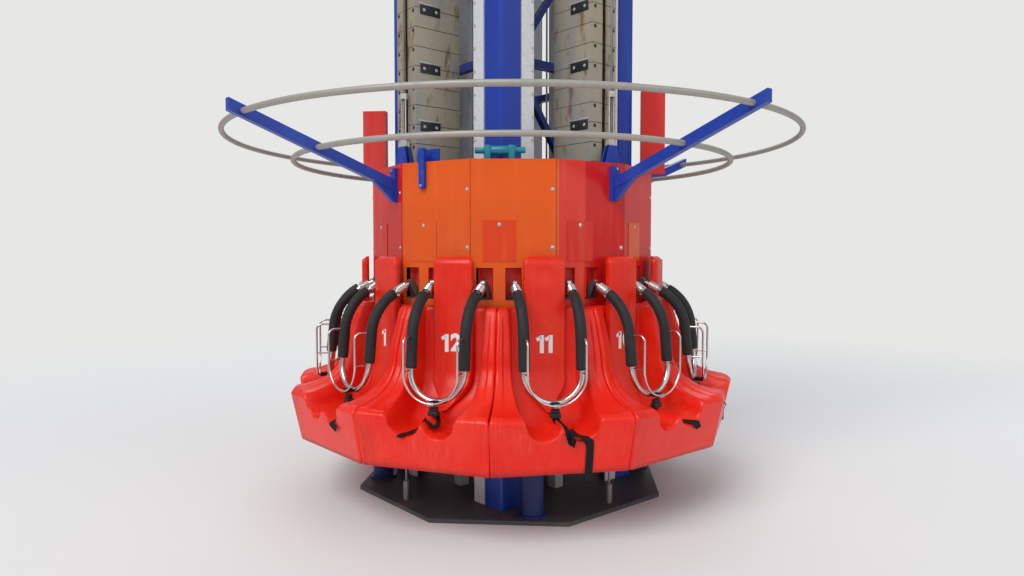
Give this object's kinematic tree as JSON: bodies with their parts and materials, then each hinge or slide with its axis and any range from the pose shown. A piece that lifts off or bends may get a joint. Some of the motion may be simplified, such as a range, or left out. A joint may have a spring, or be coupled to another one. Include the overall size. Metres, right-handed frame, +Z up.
{
  "type": "drop tower ride",
  "caption": "Drop tower ride: a square lattice tower with a gold crown ball and a ring gondola of red bucket seats with steel lap hoops.",
  "frame": {"origin": "centre of the base plate's underside, on the deck, with the gondola at the bottom", "axes": "+Z up the tower, the front looks along -Y, +X to the right seen from the front"},
  "size_m": [4, 4, 31.91],
  "materials": {
    "dark_steel": "satin",
    "blue_paint": "gloss",
    "lattice_paint": "satin",
    "galvanised": "satin",
    "brake_metal": "matte",
    "housing_paint": "satin",
    "rope_steel": "satin",
    "ring_metal": "satin",
    "gold_shell": "gloss",
    "black_rubber": "matte",
    "fin_metal": "satin",
    "orange_paint": "gloss",
    "red_shell": "gloss",
    "red_paint": "gloss",
    "black_plastic": "satin",
    "stainless": "polished",
    "black_foam": "matte"
  },
  "bodies": {
    "tower": {"base_plate": "dark_steel", "corner_posts": "blue_paint", "guide_rails": "galvanised", "lattice_front": "lattice_paint", "lattice_right": "lattice_paint", "lattice_rear": "lattice_paint", "lattice_left": "lattice_paint", "center_bars": "galvanised", "brake_columns": "brake_metal", "inner_housing": "housing_paint", "head_frame": "blue_paint", "head_sheaves": "dark_steel", "hoist_ropes": "rope_steel", "head_ring": "ring_metal", "crown_ball": "gold_shell", "buffers": "housing_paint"},
    "gondola": {"carriage_frame": "dark_steel", "guide_rollers": "black_rubber", "brake_fins": "fin_metal", "drum_skin": "orange_paint", "hatch_covers": "orange_paint", "pivot_brackets": "dark_steel", "seat_shells": "red_shell", "seat_backs": "red_shell", "belt_buckles": "black_plastic", "ring_arms": "blue_paint", "gondola_rings": "ring_metal", "rope_lugs": "blue_paint", "drum_shields": "red_paint"},
    "hoop_01_body": {"hoop_01": "stainless", "foam_01": "black_foam"},
    "hoop_02_body": {"hoop_02": "stainless", "foam_02": "black_foam"},
    "hoop_03_body": {"hoop_03": "stainless", "foam_03": "black_foam"},
    "hoop_04_body": {"hoop_04": "stainless", "foam_04": "black_foam"},
    "hoop_05_body": {"hoop_05": "stainless", "foam_05": "black_foam"},
    "hoop_06_body": {"hoop_06": "stainless", "foam_06": "black_foam"},
    "hoop_07_body": {"hoop_07": "stainless", "foam_07": "black_foam"},
    "hoop_08_body": {"hoop_08": "stainless", "foam_08": "black_foam"},
    "hoop_09_body": {"hoop_09": "stainless", "foam_09": "black_foam"},
    "hoop_10_body": {"hoop_10": "stainless", "foam_10": "black_foam"},
    "hoop_11_body": {"hoop_11": "stainless", "foam_11": "black_foam"},
    "hoop_12_body": {"hoop_12": "stainless", "foam_12": "black_foam"}
  },
  "joints": [
    {"name": "gondola_slide", "type": "slide", "parent": "tower", "child": "gondola", "axis": [0, 0, 1], "range_m": [0, 25]},
    {"name": "hoop_01_pivot", "type": "hinge", "parent": "gondola", "child": "hoop_01_body", "pos_m": [0, -0.955, 1.42], "axis": [-1, 0, 0], "range_deg": [0, 100]},
    {"name": "hoop_02_pivot", "type": "hinge", "parent": "gondola", "child": "hoop_02_body", "pos_m": [-0.4775, -0.82705, 1.42], "axis": [-0.866, 0.5, 0], "range_deg": [0, 100]},
    {"name": "hoop_03_pivot", "type": "hinge", "parent": "gondola", "child": "hoop_03_body", "pos_m": [-0.82705, -0.4775, 1.42], "axis": [-0.5, 0.866, 0], "range_deg": [0, 100]},
    {"name": "hoop_04_pivot", "type": "hinge", "parent": "gondola", "child": "hoop_04_body", "pos_m": [-0.955, 0, 1.42], "axis": [0, 1, 0], "range_deg": [0, 100]},
    {"name": "hoop_05_pivot", "type": "hinge", "parent": "gondola", "child": "hoop_05_body", "pos_m": [-0.82705, 0.4775, 1.42], "axis": [0.5, 0.866, 0], "range_deg": [0, 100]},
    {"name": "hoop_06_pivot", "type": "hinge", "parent": "gondola", "child": "hoop_06_body", "pos_m": [-0.4775, 0.82705, 1.42], "axis": [0.866, 0.5, 0], "range_deg": [0, 100]},
    {"name": "hoop_07_pivot", "type": "hinge", "parent": "gondola", "child": "hoop_07_body", "pos_m": [0, 0.955, 1.42], "axis": [1, 0, 0], "range_deg": [0, 100]},
    {"name": "hoop_08_pivot", "type": "hinge", "parent": "gondola", "child": "hoop_08_body", "pos_m": [0.4775, 0.82705, 1.42], "axis": [0.866, -0.5, 0], "range_deg": [0, 100]},
    {"name": "hoop_09_pivot", "type": "hinge", "parent": "gondola", "child": "hoop_09_body", "pos_m": [0.82705, 0.4775, 1.42], "axis": [0.5, -0.866, 0], "range_deg": [0, 100]},
    {"name": "hoop_10_pivot", "type": "hinge", "parent": "gondola", "child": "hoop_10_body", "pos_m": [0.955, 0, 1.42], "axis": [0, -1, 0], "range_deg": [0, 100]},
    {"name": "hoop_11_pivot", "type": "hinge", "parent": "gondola", "child": "hoop_11_body", "pos_m": [0.82705, -0.4775, 1.42], "axis": [-0.5, -0.866, 0], "range_deg": [0, 100]},
    {"name": "hoop_12_pivot", "type": "hinge", "parent": "gondola", "child": "hoop_12_body", "pos_m": [0.4775, -0.82705, 1.42], "axis": [-0.866, -0.5, 0], "range_deg": [0, 100]}
  ]
}
